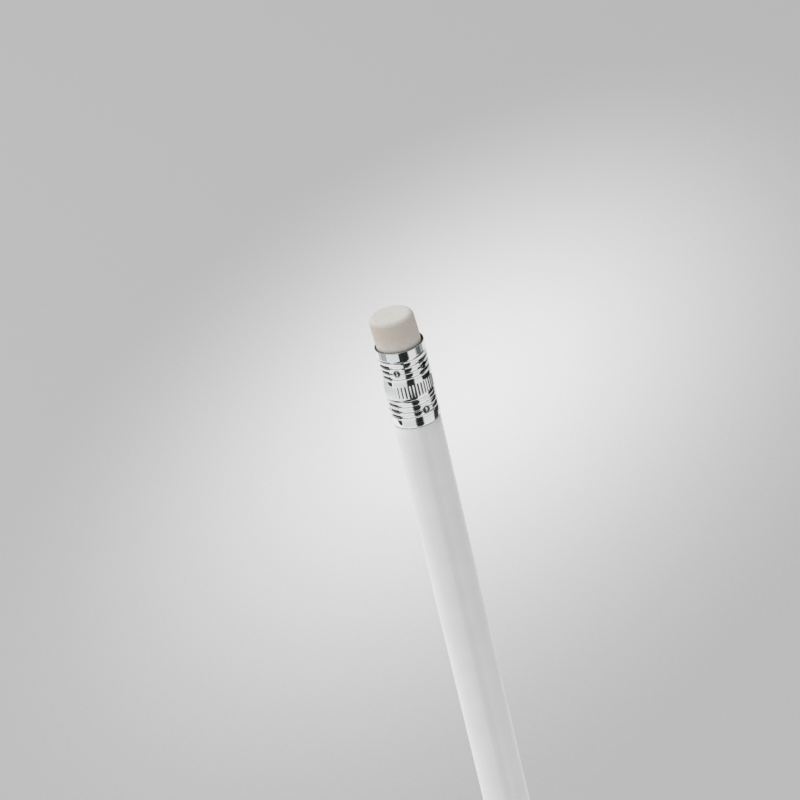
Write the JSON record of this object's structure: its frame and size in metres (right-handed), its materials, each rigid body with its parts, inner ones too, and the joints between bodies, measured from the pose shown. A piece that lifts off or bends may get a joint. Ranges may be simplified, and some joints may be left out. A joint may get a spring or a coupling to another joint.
{
  "type": "wooden pencil with eraser",
  "caption": "Round wooden pencil with a white lacquered shaft, a graphite lead sharpened to a point, a beaded and fluted metal ferrule and a soft off-white eraser plug.",
  "frame": {"origin": "tip of the lead, on the pencil's axis", "axes": "+Z along the axis from the point to the eraser; -Y is the side that the picture shows; the glue line between the slats lies in the XZ plane"},
  "size_m": [0.0072, 0.0072, 0.19],
  "materials": {
    "graphite": "dark grey with a dull metallic sheen",
    "wood": "bare, cut by the sharpener",
    "lacquer": "white lacquer, semi-gloss",
    "ferrule_metal": "bright, rolled and polished",
    "eraser_rubber": "matt off-white"
  },
  "bodies": {
    "root": {"graphite_lead": "graphite", "wood_slat_front": "wood", "wood_slat_back": "wood", "lacquer_coat": "lacquer", "ferrule": "ferrule_metal", "eraser_plug": "eraser_rubber"}
  },
  "joints": []
}
